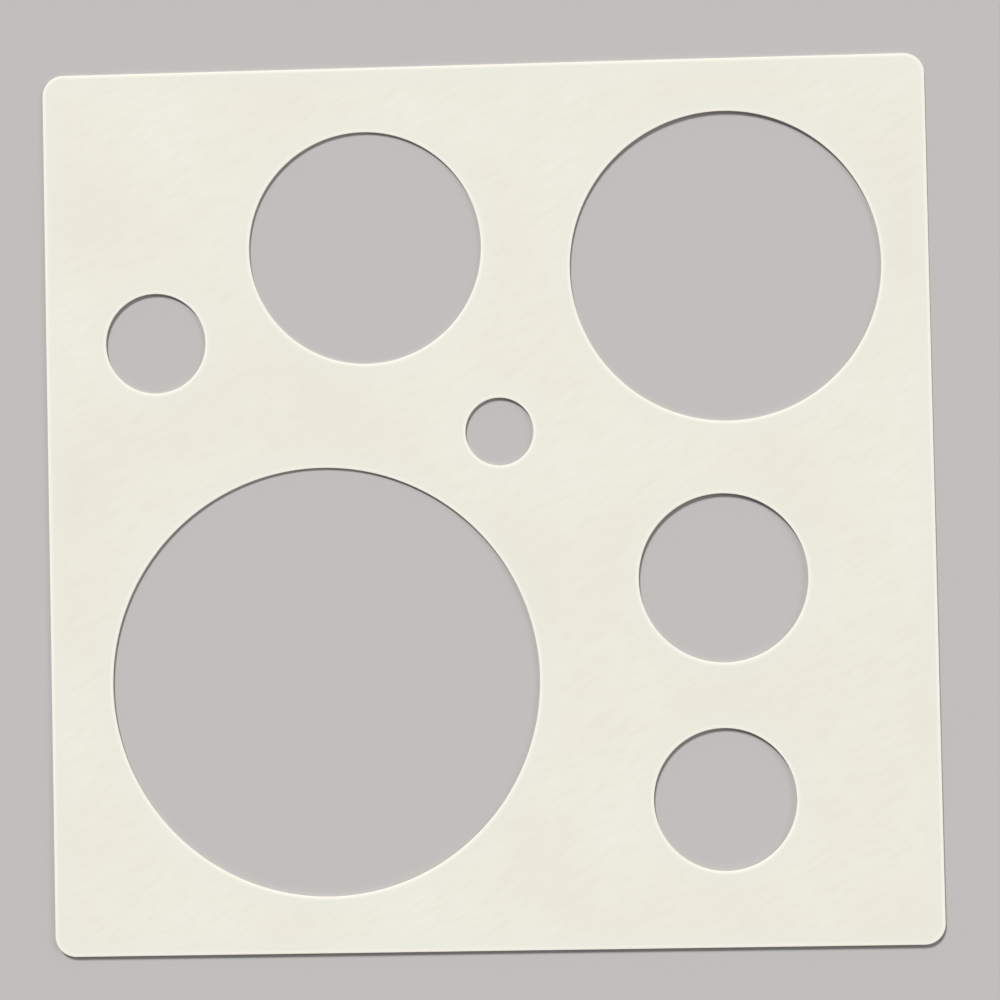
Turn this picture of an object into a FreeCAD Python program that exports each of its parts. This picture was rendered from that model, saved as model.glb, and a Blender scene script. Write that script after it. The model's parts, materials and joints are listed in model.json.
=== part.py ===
# Circle template: one flat sheet of stiff plastic film with round holes of different sizes, each a
# guide for a pencil.
#
# Millimetres. The sheet lies flat as it does in use: +X to the user's right, +Y away from the user,
# +Z up out of the sheet. The origin is at the centre of the bottom face, which rests on the paper.

import FreeCAD, Part
import math
import os
import Sketcher

# Driving dimensions of the sheet.
SHEET_SIZES = {
    "sheet_width": 150.0,
    "sheet_depth": 150.0,
    "sheet_thickness": 0.3,
    "corner_radius": 3.5,
}

# Each hole: how far its centre is right of the sheet's middle and beyond it, and its diameter.
CIRCLES = {
    "circle_front_left": (-28.25, -29.25, 72.5),
    "circle_back_right": (40.75, 39.75, 52.5),
    "circle_back_left": (-20.25, 44.25, 39.5),
    "circle_middle_right": (39.25, -13.0, 28.5),
    "circle_front_right": (38.75, -50.25, 24.0),
    "circle_left": (-56.25, 28.75, 17.0),
    "circle_centre": (2.0, 12.5, 11.5),
}

# The film left between two holes, or between a hole and an edge, is at least this wide.
LEAST_BRIDGE = 5.0
VOLUME_TOLERANCE = 1e-6

# How a sketch names its own origin, and the points of a line or an arc.
ORIGIN = -1
ORIGIN_POINT = 1
START = 1
END = 2
CENTRE = 3


def write_dimensions(doc):
    """Fill the spreadsheet: a label, a plain number and an alias on each row."""
    dimensions = doc.addObject("Spreadsheet::Sheet", "Dimensions")
    rows = dict(SHEET_SIZES)
    for name, (right, beyond, diameter) in CIRCLES.items():
        rows[name + "_right"] = right
        rows[name + "_beyond"] = beyond
        rows[name + "_diameter"] = diameter
    for row, (alias, value) in enumerate(rows.items(), start=1):
        dimensions.set(f"A{row}", alias.replace("_", " "))
        dimensions.set(f"B{row}", str(value))
        dimensions.setAlias(f"B{row}", alias)
    doc.recompute()
    return dimensions


def sketch_on_bottom(body, name):
    """An empty sketch on the body's own XY plane, which holds the bottom face."""
    sketch = body.newObject("Sketcher::SketchObject", name)
    plane = next(p for p in body.Origin.OriginFeatures if p.Role == "XY_Plane")
    sketch.AttachmentSupport = [(plane, "")]
    sketch.MapMode = "FlatFace"
    return sketch


def bind(sketch, constraint, cell):
    """Add a dimension to the sketch and bind it to a cell of the spreadsheet."""
    index = sketch.addConstraint(constraint)
    sketch.renameConstraint(index, cell)
    sketch.setExpression(f"Constraints[{index}]", f"Dimensions.{cell}")


def draw_outline(sketch, dimensions):
    """A rectangle with rounded corners, its middle on the origin.

    Corners and sides run counter-clockwise from the back right corner. Each side joins the end of
    its own corner to the start of the next.
    """
    half_width = dimensions.sheet_width / 2
    half_depth = dimensions.sheet_depth / 2
    radius = dimensions.corner_radius
    inner_x = half_width - radius
    inner_y = half_depth - radius
    up = FreeCAD.Vector(0, 0, 1)
    quarter_turn = math.pi / 2
    centres = [
        FreeCAD.Vector(inner_x, inner_y, 0),
        FreeCAD.Vector(-inner_x, inner_y, 0),
        FreeCAD.Vector(-inner_x, -inner_y, 0),
        FreeCAD.Vector(inner_x, -inner_y, 0),
    ]

    corners = []
    for turn, centre in enumerate(centres):
        circle = Part.Circle(centre, up, radius)
        start = turn * quarter_turn
        corners.append(sketch.addGeometry(Part.ArcOfCircle(circle, start, start + quarter_turn)))

    sides = []
    for turn, centre in enumerate(centres):
        end = (turn + 1) * quarter_turn
        out = FreeCAD.Vector(math.cos(end), math.sin(end), 0) * radius
        following = (turn + 1) % len(centres)
        line = Part.LineSegment(centre + out, centres[following] + out)
        side = sketch.addGeometry(line)
        sides.append(side)
        sketch.addConstraint(Sketcher.Constraint("Tangent", corners[turn], END, side, START))
        sketch.addConstraint(Sketcher.Constraint("Tangent", side, END, corners[following], START))

    back, left, front, right = sides
    for side in (back, front):
        sketch.addConstraint(Sketcher.Constraint("Horizontal", side))
    for side in (left, right):
        sketch.addConstraint(Sketcher.Constraint("Vertical", side))
    back_right, back_left, front_left, front_right = corners
    for corner in (back_left, front_left, front_right):
        sketch.addConstraint(Sketcher.Constraint("Equal", back_right, corner))
    opposite = (back_right, CENTRE, front_left, CENTRE)
    sketch.addConstraint(Sketcher.Constraint("Symmetric", *opposite, ORIGIN, ORIGIN_POINT))

    across = Sketcher.Constraint("DistanceX", left, START, right, START, 2 * half_width)
    bind(sketch, across, "sheet_width")
    deep = Sketcher.Constraint("DistanceY", front, START, back, START, 2 * half_depth)
    bind(sketch, deep, "sheet_depth")
    bind(sketch, Sketcher.Constraint("Radius", back_right, radius), "corner_radius")


def pad_sheet(body, dimensions):
    """The blank: the outline, raised by the film's thickness."""
    outline = sketch_on_bottom(body, "outline")
    draw_outline(outline, dimensions)
    blank = body.newObject("PartDesign::Pad", "blank")
    blank.Profile = outline
    blank.setExpression("Length", "Dimensions.sheet_thickness")


def cut_circle(body, name, dimensions):
    """One round hole, cut upwards from the bottom face through the whole film."""
    right = dimensions.get(name + "_right")
    beyond = dimensions.get(name + "_beyond")
    diameter = dimensions.get(name + "_diameter")

    sketch = sketch_on_bottom(body, name + "_sketch")
    centre = FreeCAD.Vector(right, beyond, 0)
    hole = sketch.addGeometry(Part.Circle(centre, FreeCAD.Vector(0, 0, 1), diameter / 2))
    across = Sketcher.Constraint("DistanceX", ORIGIN, ORIGIN_POINT, hole, CENTRE, right)
    bind(sketch, across, name + "_right")
    deep = Sketcher.Constraint("DistanceY", ORIGIN, ORIGIN_POINT, hole, CENTRE, beyond)
    bind(sketch, deep, name + "_beyond")
    bind(sketch, Sketcher.Constraint("Diameter", hole, diameter), name + "_diameter")

    pocket = body.newObject("PartDesign::Pocket", name)
    pocket.Profile = sketch
    pocket.Type = "ThroughAll"
    pocket.Reversed = True


def make_template_sheet(doc, dimensions):
    """The template: the blank with every circle cut out of it."""
    body = doc.addObject("PartDesign::Body", "template_sheet")
    body.Label = "template_sheet"
    body.Placement = FreeCAD.Placement(FreeCAD.Vector(0, 0, 0), FreeCAD.Rotation())
    pad_sheet(body, dimensions)
    for name in CIRCLES:
        cut_circle(body, name, dimensions)
    return body


def check_document(doc):
    """Stop if any object failed, or if a sketch is left free to move."""
    for item in doc.Objects:
        if "Invalid" in item.State or "Error" in item.State:
            raise RuntimeError(f"{item.Label} failed: {item.State}")
        if item.TypeId == "Sketcher::SketchObject" and not item.FullyConstrained:
            raise RuntimeError(f"sketch {item.Label} isn't fully constrained")


def check_shape(body):
    """Stop unless the body is one valid solid."""
    shape = body.Shape
    if shape.isNull() or not shape.isValid():
        raise RuntimeError(f"{body.Label} has no valid shape")
    if len(shape.Solids) != 1:
        raise RuntimeError(f"{body.Label} is {len(shape.Solids)} solids, not one")


def check_volume(body, dimensions):
    """Stop unless the solid is the blank less every circle, which shows that each pocket cut."""
    corners_lost = (4 - math.pi) * dimensions.corner_radius**2
    area = dimensions.sheet_width * dimensions.sheet_depth - corners_lost
    for right, beyond, diameter in CIRCLES.values():
        area -= math.pi * diameter**2 / 4
    expected = area * dimensions.sheet_thickness
    found = body.Shape.Volume
    print(f"{body.Label}: volume {found:.2f} mm3, worked out {expected:.2f} mm3")
    if abs(found - expected) > VOLUME_TOLERANCE * expected:
        raise RuntimeError(f"{body.Label} has the wrong volume")


def check_bridges(dimensions):
    """Stop if the film is too narrow between two holes or between a hole and an edge."""
    bridges = {}
    circles = list(CIRCLES.items())
    for index, (name, (right, beyond, diameter)) in enumerate(circles):
        to_side = dimensions.sheet_width / 2 - abs(right) - diameter / 2
        to_end = dimensions.sheet_depth / 2 - abs(beyond) - diameter / 2
        bridges[name, "edge"] = min(to_side, to_end)
        for other, (other_right, other_beyond, other_diameter) in circles[index + 1:]:
            apart = math.hypot(other_right - right, other_beyond - beyond)
            bridges[name, other] = apart - (diameter + other_diameter) / 2
    pair, narrowest = min(bridges.items(), key=lambda item: item[1])
    print(f"narrowest bridge {narrowest:.2f} mm, between {pair[0]} and {pair[1]}")
    if narrowest < LEAST_BRIDGE:
        raise RuntimeError("the film is too narrow between two cuts")


def main():
    doc = FreeCAD.newDocument("circle_template")
    dimensions = write_dimensions(doc)
    template_sheet = make_template_sheet(doc, dimensions)
    doc.recompute()

    check_document(doc)
    check_shape(template_sheet)
    check_volume(template_sheet, dimensions)
    check_bridges(dimensions)

    os.makedirs("parts", exist_ok=True)
    template_sheet.Shape.exportStep(f"parts/{template_sheet.Label}.step")
    box = template_sheet.Shape.BoundBox
    print(f"{template_sheet.Label}: {box.XLength:.2f} x {box.YLength:.2f} x {box.ZLength:.2f} mm")


main()
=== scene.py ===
# %% [markdown]
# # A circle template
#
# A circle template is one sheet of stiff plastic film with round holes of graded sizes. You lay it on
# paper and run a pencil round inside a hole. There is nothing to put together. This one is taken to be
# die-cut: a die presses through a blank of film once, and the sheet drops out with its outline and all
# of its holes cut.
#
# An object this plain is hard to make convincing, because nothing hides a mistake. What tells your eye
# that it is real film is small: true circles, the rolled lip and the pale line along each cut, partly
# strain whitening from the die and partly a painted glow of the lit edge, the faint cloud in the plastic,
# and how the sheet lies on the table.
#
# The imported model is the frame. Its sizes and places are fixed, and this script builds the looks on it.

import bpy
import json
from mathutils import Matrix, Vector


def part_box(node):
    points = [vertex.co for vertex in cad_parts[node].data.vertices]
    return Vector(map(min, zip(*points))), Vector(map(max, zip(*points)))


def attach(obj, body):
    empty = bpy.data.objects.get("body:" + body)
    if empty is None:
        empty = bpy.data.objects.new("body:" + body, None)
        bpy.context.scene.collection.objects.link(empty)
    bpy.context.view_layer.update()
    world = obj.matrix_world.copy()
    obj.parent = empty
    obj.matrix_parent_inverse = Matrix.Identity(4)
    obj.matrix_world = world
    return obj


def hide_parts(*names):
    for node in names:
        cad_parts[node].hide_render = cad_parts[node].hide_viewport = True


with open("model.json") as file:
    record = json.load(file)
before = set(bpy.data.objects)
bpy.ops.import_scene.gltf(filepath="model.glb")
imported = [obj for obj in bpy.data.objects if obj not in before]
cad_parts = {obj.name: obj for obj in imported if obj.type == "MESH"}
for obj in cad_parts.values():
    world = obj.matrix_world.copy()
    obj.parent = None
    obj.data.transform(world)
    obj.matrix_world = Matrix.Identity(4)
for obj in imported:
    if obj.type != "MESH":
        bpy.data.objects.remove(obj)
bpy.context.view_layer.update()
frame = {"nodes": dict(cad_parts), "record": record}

# %% [markdown]
# ## Sizes come from the frame
#
# Everything in Blender is in metres here, in the same frame as the CAD part. The script reads each size
# from the frame instead of typing it again, so the two models can't drift apart. A circle's place and
# radius are in the record, as the interfaces that a pencil or a disc fits. The corner radius isn't
# written anywhere, but the CAD sheet shows it: its straight side stops where the corner begins.

# %% Read the sheet and its circles
import json
import math

import bmesh
import bpy
from mathutils import Matrix, Vector, noise

NODE = "template_sheet"


def mm(length):
    """Millimetres to metres."""
    return length / 1000


def in_mm(length):
    """Metres to millimetres, for printing."""
    return length * 1000


low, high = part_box(NODE)
half_side = high.x
thickness = high.z - low.z

TOUCHING = mm(0.001)
right_side = [v.co.y for v in frame["nodes"][NODE].data.vertices if v.co.x > high.x - TOUCHING]
corner_radius = high.y - max(right_side)

circles = []
for mount in frame["record"]["mounts"]:
    if mount["kind"] == "bore":
        x, y, _ = mount["pos_m"]
        circles.append((Vector((x, y, 0)), mm(mount["dims"]["r_mm"])))

print(f"sheet {in_mm(2 * half_side):.1f} mm square, {in_mm(thickness):.2f} mm thick")
print(f"corner radius {in_mm(corner_radius):.2f} mm, {len(circles)} circles")

# %% [markdown]
# ## The cut edges come first
#
# You could subtract cylinders from a plate with a Boolean. That leaves long thin faces around each
# hole, and they shade badly as soon as the edge is rounded. So this mesh starts from its edges instead.
# Each cut gets a collar: a narrow ring of square faces that runs along it. The collar gives the bevel
# clean ground later, and it is also where the pale line of the cut will be.
#
# Every collar is made the same way: a flat face of the right outline is inset by the collar's width,
# which leaves a ring of small faces round it, and the large face in the middle is deleted. In a hole
# that middle is the disc that the die takes away. In the sheet's outline it is the whole field, and
# the next step makes that again with a better mesh.

# %% A collar along every cut
COLLAR = mm(0.45)
CHORD = mm(0.6)
LEAST_SEGMENTS = 96
CORNER_SEGMENTS = 14
ROUND_PROFILE = 0.5

film = bmesh.new()


def inset_collar(face):
    """Inset a face by the collar's width. The collar is left as a ring, and the middle is deleted."""
    bmesh.ops.inset_region(
        film,
        faces=[face],
        thickness=COLLAR,
        use_boundary=True,
        use_even_offset=True,
    )
    bmesh.ops.delete(film, geom=[face], context="FACES")


def outline_face():
    """A square face with rounded corners, its sides divided into short edges."""
    square = bmesh.ops.create_grid(film, x_segments=1, y_segments=1, size=half_side)
    bmesh.ops.bevel(
        film,
        geom=square["verts"],
        affect="VERTICES",
        offset=corner_radius,
        offset_type="OFFSET",
        segments=CORNER_SEGMENTS,
        profile=ROUND_PROFILE,
        material=-1,
    )
    sides = [e for e in film.edges if e.calc_length() > half_side]
    bmesh.ops.subdivide_edges(film, edges=sides, cuts=round(2 * half_side / CHORD))
    return film.faces[:][0]


def hole_face(centre, radius):
    """A disc that reaches a collar's width past a hole's edge."""
    segments = max(LEAST_SEGMENTS, round(2 * math.pi * radius / CHORD))
    disc = bmesh.ops.create_circle(
        film,
        cap_ends=True,
        radius=radius + COLLAR,
        segments=segments,
        matrix=Matrix.Translation(centre),
    )
    return disc["verts"][0].link_faces[0]


inset_collar(outline_face())
for centre, radius in circles:
    inset_collar(hole_face(centre, radius))
print("collars:", len(film.faces), "faces")

# %% [markdown]
# ## The field between the cuts
#
# The middle of the sheet is a plain grid. Real film is never quite flat, and the grid gives it the
# points that it needs to be lifted a little later. Cells that come near a hole are deleted, which
# leaves a stepped gap around each collar. A triangle fill then closes each gap: it takes any closed
# loops of edges in a plane and fills what lies between them, and its beauty option evens the
# triangles out.
#
# Filling flat ground is easy to check. The faces have to add up to the area of the sheet less its
# circles, and to nothing more, so the script prints both.

# %% Lay the grid and clear it around the holes
CELL = mm(1.5)
GAP = mm(0.9)
OUTER_GAP = mm(1.4)

grid_half = half_side - COLLAR - OUTER_GAP
cells = round(2 * grid_half / CELL)
grid = bmesh.ops.create_grid(film, x_segments=cells, y_segments=cells, size=grid_half)
grid_faces = {face for v in grid["verts"] for face in v.link_faces}


def near_a_hole(face):
    """Does a cell come closer to a hole's collar than the gap?"""
    for centre, radius in circles:
        if min((v.co - centre).length for v in face.verts) < radius + COLLAR + GAP:
            return True
    return False


doomed = [face for face in grid_faces if near_a_hole(face)]
bmesh.ops.delete(film, geom=doomed, context="FACES")
print(f"grid of {cells} x {cells} cells, {len(doomed)} cleared around the holes")

# %% Fill each gap with triangles
UP = Vector((0, 0, 1))


def fill(edges):
    """Close the gap between loops of edges that lie in the sheet's plane."""
    bmesh.ops.triangle_fill(film, use_beauty=True, use_dissolve=False, edges=edges, normal=UP)


def open_edges(belongs):
    """The edges with a face on one side only, where both ends pass the test."""
    return [e for e in film.edges if e.is_boundary and all(belongs(v.co) for v in e.verts)]


for centre, radius in circles:
    nearest = radius + COLLAR / 2
    furthest = radius + COLLAR + GAP + 2 * CELL
    fill(open_edges(lambda co: nearest < (co - centre).length < furthest))

grid_outside = grid_half - CELL / 2


def in_outer_gap(co):
    """Is a point on the grid's own border, or on the inner side of the outline's collar?"""
    reach = max(abs(co.x), abs(co.y))
    corner = half_side - corner_radius
    past = Vector((max(abs(co.x) - corner, 0), max(abs(co.y) - corner, 0)))
    return reach > grid_outside and past.length < corner_radius - COLLAR / 2


fill(open_edges(in_outer_gap))

downward = [face for face in film.faces if face.normal.z < 0]
bmesh.ops.reverse_faces(film, faces=downward)

wanted = 4 * half_side**2 - (4 - math.pi) * corner_radius**2
wanted -= sum(math.pi * radius**2 for _, radius in circles)
covered = sum(face.calc_area() for face in film.faces)
square_mm = mm(1) ** 2
print(f"area {covered / square_mm:.1f} mm2, worked out {wanted / square_mm:.1f} mm2")

# %% [markdown]
# ## Thickness, and what the die does to an edge
#
# Solidify gives the flat sheet its other face and a wall along every cut. A die doesn't leave a sharp
# corner. It drags the film down as it enters, so the upper edge is rolled over, and the lower edge is
# only just broken. Those are two bevels of different sizes. A bevel needs to know its edges, and here
# they are the ones where a wall meets a face at a right angle.

# %% Give the film its thickness
bmesh.ops.solidify(film, geom=film.faces[:], thickness=thickness)
bmesh.ops.recalc_face_normals(film, faces=film.faces[:])
lowest = min(v.co.z for v in film.verts)
bmesh.ops.translate(film, verts=film.verts[:], vec=(0, 0, -lowest))
print(f"film {in_mm(max(v.co.z for v in film.verts)):.2f} mm thick, {len(film.faces)} faces")

# %% Roll the upper edges over and break the lower ones
ROLLED = mm(0.04)
BROKEN = mm(0.02)
ROLLED_SEGMENTS = 4
BROKEN_SEGMENTS = 2
SHARP = math.radians(60)


def bevel_rims(upper, width, segments):
    """Round the corners between wall and face, on one side of the film."""
    rims = [e for e in film.edges if e.calc_face_angle(0) > SHARP]
    rims = [e for e in rims if (e.verts[0].co.z > thickness / 2) == upper]
    bmesh.ops.bevel(
        film,
        geom=rims,
        affect="EDGES",
        offset=width,
        offset_type="OFFSET",
        segments=segments,
        profile=ROUND_PROFILE,
        material=-1,
        clamp_overlap=True,
    )
    return len(rims)


print("upper rim:", bevel_rims(True, ROLLED, ROLLED_SEGMENTS), "edges")
print("lower rim:", bevel_rims(False, BROKEN, BROKEN_SEGMENTS), "edges")

# %% [markdown]
# ## How far away is the nearest cut?
#
# Cutting strains the plastic, and strained plastic turns paler: fold a bit of film and you see the same
# white line. The paler line painted along each cut stands for that, and also for a painted glow of the
# lit edge, and the cut face is darkened with painted shade. The material needs to know how far each point
# is from a cut, so that distance is stored on the mesh as an attribute. It belongs to the mesh, so it
# follows the surface wherever the sheet goes. Close to a cut, where it is used, it changes almost evenly
# from point to point, so it is close to right between the points too.

# %% Store each point's distance from the nearest cut
def distance_to_cut(co):
    """How far a point of the film is from the nearest cut edge, seen from above."""
    corner = half_side - corner_radius
    past = Vector((max(abs(co.x) - corner, 0), max(abs(co.y) - corner, 0)))
    to_outline = corner_radius - past.length
    flat = Vector((co.x, co.y, 0))
    to_holes = [(flat - centre).length - radius for centre, radius in circles]
    return min([to_outline, *to_holes])


cut_distance = film.verts.layers.float.new("cut_distance")
for v in film.verts:
    v[cut_distance] = distance_to_cut(v.co)
furthest_in = max(v[cut_distance] for v in film.verts)
print(f"no point of the film is more than {in_mm(furthest_in):.1f} mm from a cut")

# %% [markdown]
# ## How the film lies
#
# Film that has been on a roll keeps a trace of it. It touches the table in one place and stands off by
# up to a quarter of a millimetre in others, most of all along the edge nearest you, which curls up. A
# slow noise gives the unevenness and a square law along the sheet the curl. The least lift is taken
# from all of them, so the film rests on the table where it is lowest. Both faces move together, so it
# keeps its thickness.

# %% Lift the film off the table here and there
LIFT = mm(0.36)
WAVE = mm(70)
CURL = mm(0.18)


def lift(co):
    """How far the film is raised at this place, before the least lift is taken off."""
    waves = 0.5 + 0.5 * noise.noise(Vector((co.x / WAVE, co.y / WAVE, 0)))
    towards_you = (high.y - co.y) / (high.y - low.y)
    return LIFT * waves + CURL * towards_you**2


least_lift = min(lift(v.co) for v in film.verts)
for v in film.verts:
    v.co.z += lift(v.co) - least_lift
heights = [v.co.z for v in film.verts]
print(f"lowest point {in_mm(min(heights)):.3f} mm, highest {in_mm(max(heights)):.3f} mm")

# %% [markdown]
# ## The same mesh on every run
#
# Solidify and Bevel give the right faces, but in an order that changes from one run to the next. The
# points keep their order, so edges and faces are sorted by the numbers of their points. Two runs then
# give the same mesh, and a real change to the model is easy to tell from a shuffle.

# %% Sort edges and faces by their points
def sort_by_points(elements):
    """Put edges or faces in the order of their points' numbers."""
    ordered = sorted(elements, key=lambda element: sorted(v.index for v in element.verts))
    for index, element in enumerate(ordered):
        element.index = index
    elements.sort()


film.verts.index_update()
sort_by_points(film.edges)
sort_by_points(film.faces)
print(f"sorted {len(film.edges)} edges and {len(film.faces)} faces")

# %% [markdown]
# ## From bmesh to an object
#
# The object stays at the origin and its place is in its mesh, as every piece of the frame has it. The
# faces are shaded smooth, and a Weighted Normal modifier lets the large flat faces decide their own
# normals, so the rounding stays in the narrow bevels.

# %% Make the sheet an object
mesh = bpy.data.meshes.new("template_film")
film.to_mesh(mesh)
film.free()
mesh.shade_smooth()
sheet = bpy.data.objects.new("template_film", mesh)
bpy.context.scene.collection.objects.link(sheet)

LARGE_FACES_WIN = 100

weighted = sheet.modifiers.new("flat_faces_stay_flat", "WEIGHTED_NORMAL")
weighted.keep_sharp = False
weighted.weight = LARGE_FACES_WIN

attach(sheet, "root")
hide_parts(NODE)
print("template_film:", len(mesh.vertices), "points,", len(mesh.polygons), "faces")

# %% [markdown]
# ## Tools for the material
#
# A few helpers do the repeated work. One turns a colour as you see it on a screen, in hex, into the
# linear numbers that the renderer works in. One starts an empty material. One adds a node, sets its
# properties and fills its sockets, each with a value or with another node's output.
#
# A Mix node has sockets for numbers, vectors and colours under the same names, so the colour ones are
# picked by their places in the list: two inputs and one output.
#
# A texture's scale says how many times it repeats in a metre, so `repeats` works it out from the size
# of one feature. A pattern that is longer one way gets its sizes from a Mapping node of the Texture
# kind instead: that kind divides by its scale, so its scale is the size of one feature each way, and it
# stretches the pattern before it turns it.

# %% Colour, node and scale helpers
MIX_A = 6
MIX_B = 7
MIX_RESULT = 2


def linear(hex_colour):
    """An sRGB hex colour as linear red, green, blue and alpha."""
    channels = [int(hex_colour[i : i + 2], 16) / 255 for i in (1, 3, 5)]
    curve = [c / 12.92 if c <= 0.04045 else ((c + 0.055) / 1.055) ** 2.4 for c in channels]
    return (*curve, 1)


def repeats(size):
    """How many features of this size, in metres, fit in one metre."""
    return 1 / size


def add_node(tree, kind, inputs=None, **settings):
    """Add a node. Settings are its own properties; inputs are its sockets, by name or number."""
    node = tree.nodes.new(kind)
    for name, value in settings.items():
        setattr(node, name, value)
    for socket, value in (inputs or {}).items():
        if isinstance(value, bpy.types.NodeSocket):
            tree.links.new(value, node.inputs[socket])
        else:
            node.inputs[socket].default_value = value
    return node


def new_material(name):
    """A material with an empty node tree."""
    material = bpy.data.materials.new(name)
    material.use_nodes = True
    material.node_tree.nodes.clear()
    return material


print(f"a grey of #808080 reflects {linear('#808080')[0]:.0%} of the light")

# %% [markdown]
# ## The film
#
# The sheet is made here as polypropylene film, filled with white and a touch of cream so that it is
# opaque, and rolled between satin rollers. This is what the material has to show:
#
# - a soft, wide sheen with no clear reflection, from the satin rollers;
# - a very faint cloud, from millimetres to centimetres across, where the filler is not quite even;
# - finer streaks that run one way, at a slant, as the film left the rollers;
# - a paler line along each cut, half a millimetre wide, partly strain whitening and partly a painted glow
#   of the lit edge;
# - a cooler tint that fades out over the next few millimetres, which is there for the look alone: real
#   film may not have it;
# - and the cut face, a shade darker than the skin: painted shade for a rougher face that never touched a
#   roller, which also tones down the light on the walls.
#
# All of it is faint. The cloud and the streaks change the colour by a few parts in a hundred at most,
# and you should only notice them when they are missing.

# %% Film: cloud and streaks in the colour
satin_film = new_material("satin_polypropylene_film")
tree = satin_film.node_tree

COOL_CREAM = linear("#F1EFE3")
WARM_CREAM = linear("#EBE7DA")
STREAK = linear("#E6E3D5")

CLOUD_SIZE = mm(30)
CLOUD_LOW, CLOUD_HIGH = 0.27, 0.73
STREAK_WIDTH = mm(0.8)
STREAK_LENGTH = mm(3.6)
STREAK_TURN = math.radians(28)
STREAK_LOW, STREAK_HIGH = 0.4, 0.7
STREAK_STRENGTH = 0.4

place = add_node(tree, "ShaderNodeTexCoord")
cloud = add_node(
    tree,
    "ShaderNodeTexNoise",
    {"Vector": place.outputs["Object"], "Scale": repeats(CLOUD_SIZE), "Detail": 4.0, "Roughness": 0.5},
)
cloud_share = add_node(
    tree,
    "ShaderNodeMapRange",
    {"Value": cloud.outputs["Fac"], "From Min": CLOUD_LOW, "From Max": CLOUD_HIGH},
)
clouded = add_node(
    tree,
    "ShaderNodeMix",
    {"Factor": cloud_share.outputs["Result"], MIX_A: COOL_CREAM, MIX_B: WARM_CREAM},
    data_type="RGBA",
)

along_streaks = add_node(
    tree,
    "ShaderNodeMapping",
    {
        "Vector": place.outputs["Object"],
        "Rotation": (0, 0, STREAK_TURN),
        "Scale": (STREAK_LENGTH, STREAK_WIDTH, STREAK_WIDTH),
    },
    vector_type="TEXTURE",
)
streaks = add_node(
    tree,
    "ShaderNodeTexNoise",
    {"Vector": along_streaks.outputs["Vector"], "Scale": 1.0, "Detail": 2.0},
)
streak_share = add_node(
    tree,
    "ShaderNodeMapRange",
    {
        "Value": streaks.outputs["Fac"],
        "From Min": STREAK_LOW,
        "From Max": STREAK_HIGH,
        "To Max": STREAK_STRENGTH,
    },
)
streaked = add_node(
    tree,
    "ShaderNodeMix",
    {"Factor": streak_share.outputs["Result"], MIX_A: clouded.outputs[MIX_RESULT], MIX_B: STREAK},
    data_type="RGBA",
)
print("film colour: cloud and streaks")

# %% Film: the pale line along the cuts
# The pale line along each cut is partly strain whitening and partly a painted glow: a highlight of the
# lit edge painted into the colour.
STRAIN_AND_EDGE_GLOW = linear("#F7F3E8")
BLOOM = linear("#E9EBE0")
STRAIN_AND_GLOW_CORE = mm(0.2)
STRAIN_AND_GLOW_WIDTH = mm(0.8)
BLOOM_WIDTH = mm(5)
BLOOM_STRENGTH = 0.6

from_cut = add_node(tree, "ShaderNodeAttribute", attribute_name="cut_distance")
bloom = add_node(
    tree,
    "ShaderNodeMapRange",
    {
        "Value": from_cut.outputs["Fac"],
        "From Max": BLOOM_WIDTH,
        "To Min": BLOOM_STRENGTH,
        "To Max": 0.0,
    },
    interpolation_type="SMOOTHSTEP",
)
bloomed = add_node(
    tree,
    "ShaderNodeMix",
    {"Factor": bloom.outputs["Result"], MIX_A: streaked.outputs[MIX_RESULT], MIX_B: BLOOM},
    data_type="RGBA",
)
strain_and_glow_share = add_node(
    tree,
    "ShaderNodeMapRange",
    {
        "Value": from_cut.outputs["Fac"],
        "From Min": STRAIN_AND_GLOW_CORE,
        "From Max": STRAIN_AND_GLOW_WIDTH,
        "To Min": 1.0,
        "To Max": 0.0,
    },
    interpolation_type="SMOOTHSTEP",
)
strain_and_glow_tinted = add_node(
    tree,
    "ShaderNodeMix",
    {"Factor": strain_and_glow_share.outputs["Result"], MIX_A: bloomed.outputs[MIX_RESULT], MIX_B: STRAIN_AND_EDGE_GLOW},
    data_type="RGBA",
)
print("film colour: pale line along each cut")

# %% Film: the cut face
# The cut face and the outer half of the rolled lip are darkened with painted shade. It stands for the
# duller look of a face that never touched a roller, and it tones down where the light falls on the walls.
CUT_FACE_PAINTED_SHADE = linear("#D9D6C8")
CUT_FACE_SHADE_FADE = mm(0.03)

cut_face_shade_share = add_node(
    tree,
    "ShaderNodeMapRange",
    {"Value": from_cut.outputs["Fac"], "From Max": CUT_FACE_SHADE_FADE, "To Min": 1.0, "To Max": 0.0},
)
film_colour = add_node(
    tree,
    "ShaderNodeMix",
    {"Factor": cut_face_shade_share.outputs["Result"], MIX_A: strain_and_glow_tinted.outputs[MIX_RESULT], MIX_B: CUT_FACE_PAINTED_SHADE},
    data_type="RGBA",
)
print("film colour: the cut face")

# %% [markdown]
# ### The surface of the film
#
# Satin rollers leave a fine grain, finer than you can see from arm's length. It is drawn here at
# 0.4 mm, coarser than the real one, so that it can show at all. Handling adds hairlines: they are in
# the roughness alone, so they glint at a low angle and vanish from above.

# %% Film: grain, hairlines and the shader
GRAIN_SIZE = mm(0.4)
GRAIN_HEIGHT = mm(0.007)
HAIRLINE_WIDTH = mm(0.25)
HAIRLINE_LENGTH = mm(22)
HAIRLINE_TURN = math.radians(-51)
HAIRLINE_LOW, HAIRLINE_HIGH = 0.62, 0.72
SATIN_ROUGHNESS = 0.66
HAIRLINE_ROUGHNESS = 0.54
FILM_IOR = 1.49
FILM_SPECULAR = 0.35

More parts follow.
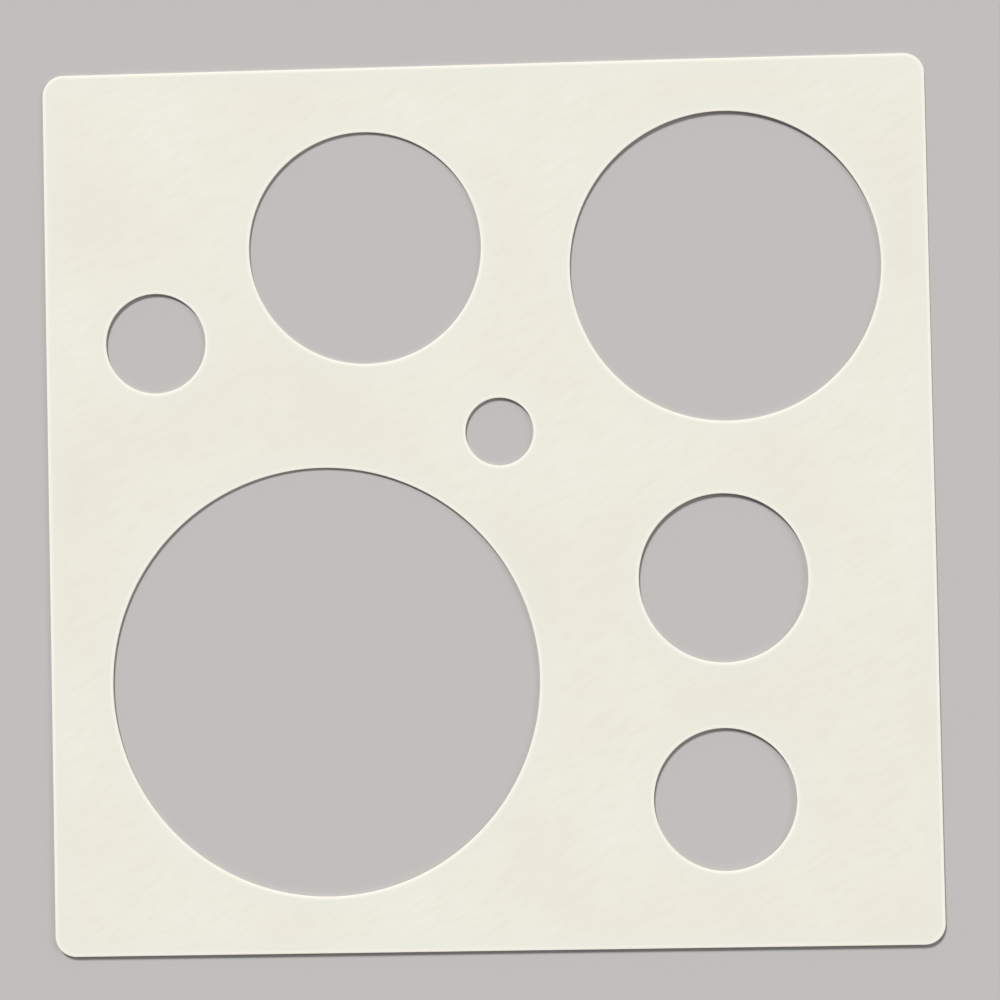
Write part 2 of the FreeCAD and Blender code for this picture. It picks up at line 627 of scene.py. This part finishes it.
grain = add_node(
    tree,
    "ShaderNodeTexNoise",
    {"Vector": place.outputs["Object"], "Scale": repeats(GRAIN_SIZE), "Detail": 2.0},
)
rolled_surface = add_node(
    tree,
    "ShaderNodeBump",
    {"Strength": 1.0, "Distance": GRAIN_HEIGHT, "Height": grain.outputs["Fac"]},
)

along_hairlines = add_node(
    tree,
    "ShaderNodeMapping",
    {
        "Vector": place.outputs["Object"],
        "Rotation": (0, 0, HAIRLINE_TURN),
        "Scale": (HAIRLINE_LENGTH, HAIRLINE_WIDTH, HAIRLINE_WIDTH),
    },
    vector_type="TEXTURE",
)
hairlines = add_node(
    tree,
    "ShaderNodeTexNoise",
    {"Vector": along_hairlines.outputs["Vector"], "Scale": 1.0, "Detail": 1.0},
)
film_roughness = add_node(
    tree,
    "ShaderNodeMapRange",
    {
        "Value": hairlines.outputs["Fac"],
        "From Min": HAIRLINE_LOW,
        "From Max": HAIRLINE_HIGH,
        "To Min": SATIN_ROUGHNESS,
        "To Max": HAIRLINE_ROUGHNESS,
    },
)

film_shader = add_node(
    tree,
    "ShaderNodeBsdfPrincipled",
    {
        "Base Color": film_colour.outputs[MIX_RESULT],
        "Roughness": film_roughness.outputs["Result"],
        "Normal": rolled_surface.outputs["Normal"],
        "IOR": FILM_IOR,
        "Specular IOR Level": FILM_SPECULAR,
    },
)
add_node(tree, "ShaderNodeOutputMaterial", {"Surface": film_shader.outputs["BSDF"]})
mesh.materials.append(satin_film)
print("film:", len(tree.nodes), "nodes")

# %% [markdown]
# ## The table, the light and the room
#
# The table is plain, matt and pale, a shade darker than the film so that the outline stands out. It
# runs far past the sheet, and the room around it has the table's own colour at the horizon, so a low
# view shows no edge between the two. Higher up the room is darker, which keeps the shadows clear.

# %% A plain pale table
PALE_GREY = linear("#C0BFBD")
TABLE_HALF_SIDE = 12.0

table_bm = bmesh.new()
bmesh.ops.create_grid(table_bm, x_segments=1, y_segments=1, size=TABLE_HALF_SIDE)
table_mesh = bpy.data.meshes.new("table")
table_bm.to_mesh(table_mesh)
table_bm.free()
table = bpy.data.objects.new("table", table_mesh)
bpy.context.scene.collection.objects.link(table)

table_paint = new_material("matt_grey_table")
paint = add_node(
    table_paint.node_tree,
    "ShaderNodeBsdfPrincipled",
    {"Base Color": PALE_GREY, "Roughness": 1.0, "Specular IOR Level": 0.0},
)
add_node(table_paint.node_tree, "ShaderNodeOutputMaterial", {"Surface": paint.outputs["BSDF"]})
table_mesh.materials.append(table_paint)
print(f"table: {2 * TABLE_HALF_SIDE:.0f} m square")

# %% The room's own light
ROOM_OVERHEAD = 0.2
DARKENS_FROM = math.sin(math.radians(15))
DARKENS_TO = math.sin(math.radians(45))

world = bpy.data.worlds.new("studio")
world.use_nodes = True
world.node_tree.nodes.clear()
sky = world.node_tree
direction = add_node(sky, "ShaderNodeTexCoord")
height = add_node(sky, "ShaderNodeSeparateXYZ", {"Vector": direction.outputs["Generated"]})
brightness = add_node(
    sky,
    "ShaderNodeMapRange",
    {
        "Value": height.outputs["Z"],
        "From Min": DARKENS_FROM,
        "From Max": DARKENS_TO,
        "To Min": 1.0,
        "To Max": ROOM_OVERHEAD,
    },
    interpolation_type="SMOOTHSTEP",
)
room_light = add_node(
    sky,
    "ShaderNodeBackground",
    {"Color": PALE_GREY, "Strength": brightness.outputs["Result"]},
)
add_node(sky, "ShaderNodeOutputWorld", {"Surface": room_light.outputs["Background"]})
bpy.context.scene.world = world
print(f"room: the table's grey at the horizon, {ROOM_OVERHEAD:.0%} as bright overhead")

# %% [markdown]
# The main light is a soft one beyond the far edge of the sheet, about thirty-five degrees up and a
# little to the left. A light as low as that shows the thickness of thin film: it draws a fine shadow
# inside the far edge of each hole and in front of the near edge of the sheet. A weaker and wider light
# from the right draws a faint one along the left edge. Blender's sun lamp has an even strength all over
# the sheet, as a large softbox some way off has, and its angle sets how soft it is.

# %% The two lights
def add_sun(name, energy, size, elevation, turn):
    """A sun lamp beyond the far edge. A turn above zero is to the left. All angles in degrees."""
    lamp = bpy.data.lights.new(name, "SUN")
    lamp.energy = energy
    lamp.angle = math.radians(size)
    light = bpy.data.objects.new(name, lamp)
    light.rotation_euler = (math.radians(elevation - 90), 0, math.radians(turn))
    bpy.context.scene.collection.objects.link(light)


add_sun("main_light", energy=3.72, size=14, elevation=34, turn=22)
add_sun("side_light", energy=0.87, size=30, elevation=28, turn=-75)
print("lights: main and side")

# %% [markdown]
# ## The camera
#
# The camera looks almost straight down from about 28 cm, held by hand: it is a degree or so off the
# vertical both ways, and turned by a little more than a degree, so the sheet leans slightly in the
# frame. A 60 mm lens on a 36 mm sensor keeps the circles round.

# %% Place the camera
LENS_MM = 60
SENSOR_MM = 36
NEAREST_SEEN = mm(5)
CAMERA_PLACE = (mm(8.7), mm(-3.9), mm(282.3))
CAMERA_TURN = (math.radians(0.95), math.radians(1.41), math.radians(-1.18))

camera_data = bpy.data.cameras.new("camera")
camera_data.lens = LENS_MM
camera_data.sensor_width = SENSOR_MM
camera_data.clip_start = NEAREST_SEEN
camera = bpy.data.objects.new("camera", camera_data)
camera.location = CAMERA_PLACE
camera.rotation_euler = CAMERA_TURN
bpy.context.scene.collection.objects.link(camera)
bpy.context.scene.camera = camera

bpy.context.scene.view_settings.view_transform = "Standard"
bpy.context.scene.view_settings.look = "None"
print(f"camera: {LENS_MM} mm lens, {in_mm(CAMERA_PLACE[2]):.0f} mm above the table")

# %% [markdown]
# ## Finish
#
# The last line brings the scene up to date.

# %% Finish
bpy.context.view_layer.update()
